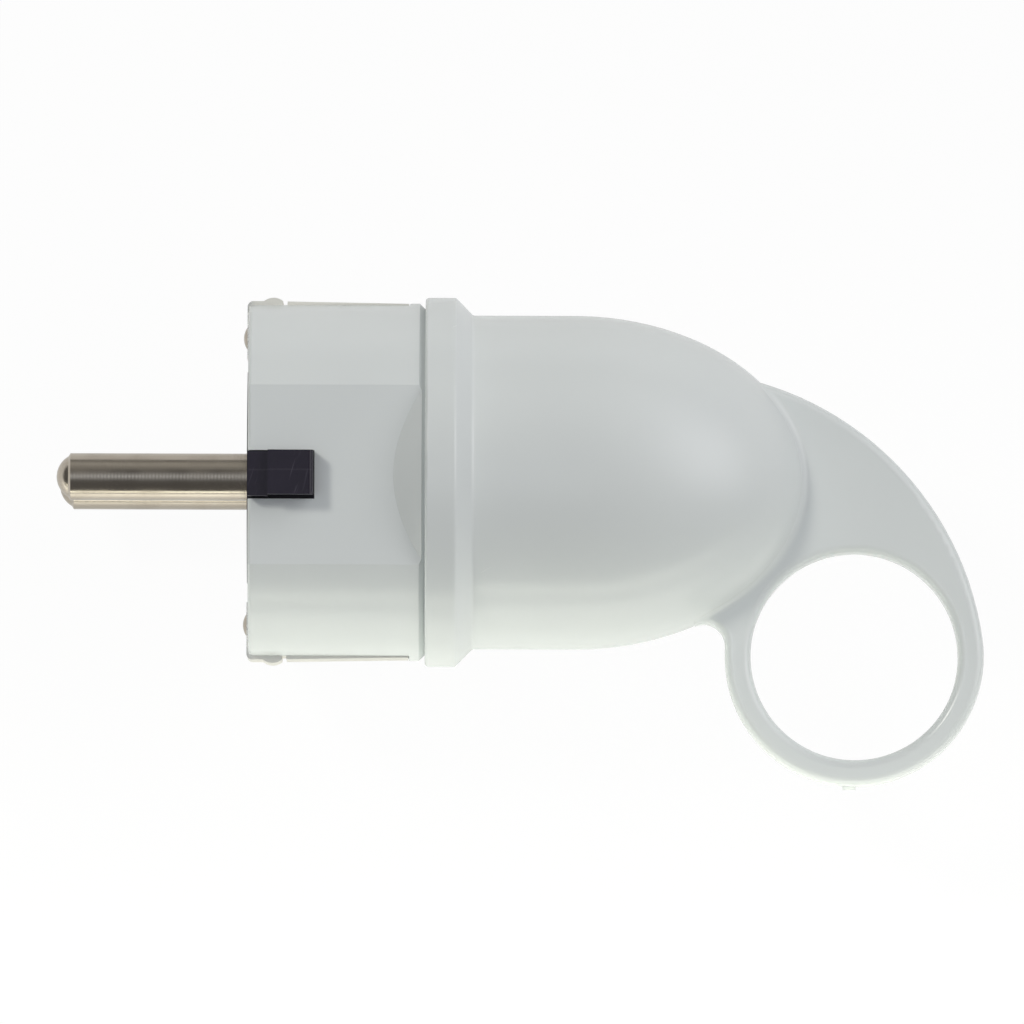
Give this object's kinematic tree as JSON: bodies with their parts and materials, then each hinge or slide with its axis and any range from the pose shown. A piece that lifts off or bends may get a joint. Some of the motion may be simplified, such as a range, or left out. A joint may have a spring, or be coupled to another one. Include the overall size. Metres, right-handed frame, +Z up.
{
  "type": "type f plug",
  "caption": "Rewireable mains plug with round pins, side earth contacts, guide lugs on the flats and a hooded rear cover that runs out into a finger pull ring.",
  "frame": {"origin": "on the surface that the plug lies on, under the middle of its bounding box", "axes": "+X along the plug's axis from the pins to the ring, +Y away from the ring's side, +Z up out of the upper guide flat"},
  "size_m": [0.0946, 0.0498, 0.0377],
  "materials": {
    "white_plastic": "glossy moulded",
    "black_plastic": "satin moulded",
    "plated_brass": "nickel plated, drawn",
    "earth_metal": "nickel plated, pressed",
    "zinc_steel": "zinc plated",
    "bare_brass": "turned"
  },
  "bodies": {
    "root": {"rear_cover": "white_plastic", "front_shell": "white_plastic", "pin_carrier": "black_plastic", "cord_grommet": "black_plastic", "live_pin": "plated_brass", "neutral_pin": "plated_brass", "earth_contact_top": "earth_metal", "earth_contact_bottom": "earth_metal", "earth_rivet_top": "earth_metal", "earth_rivet_bottom": "earth_metal", "earth_strap": "earth_metal", "live_terminal_screw": "zinc_steel", "neutral_terminal_screw": "zinc_steel", "earth_clamp_washer": "zinc_steel", "earth_terminal_screw": "zinc_steel", "cord_clamp_saddle": "zinc_steel", "cord_clamp_screw_a": "zinc_steel", "cord_clamp_screw_b": "zinc_steel", "cover_screw": "zinc_steel", "cover_insert": "bare_brass"}
  },
  "joints": []
}
